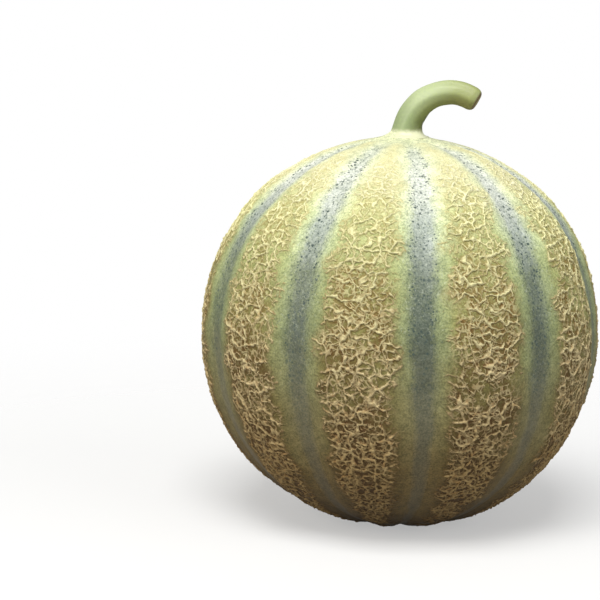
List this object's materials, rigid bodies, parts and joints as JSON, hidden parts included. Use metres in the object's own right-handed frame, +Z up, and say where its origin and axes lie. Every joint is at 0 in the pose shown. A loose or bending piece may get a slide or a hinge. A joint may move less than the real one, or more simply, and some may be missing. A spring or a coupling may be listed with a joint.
{
  "type": "cantaloupe melon",
  "caption": "Whole round netted melon with shallow ribs and a short arched stem, standing on a small flat spot.",
  "frame": {"origin": "centre of the flat spot that the melon rests on", "axes": "+Z up, from the blossom end to the stem; -Y towards the front; the stem arches over towards +X"},
  "size_m": [0.1358, 0.1356, 0.1524],
  "materials": {
    "netted_rind": "matte",
    "green_stem": "satin"
  },
  "bodies": {
    "root": {"fruit": "netted_rind", "stem": "green_stem"}
  },
  "joints": []
}
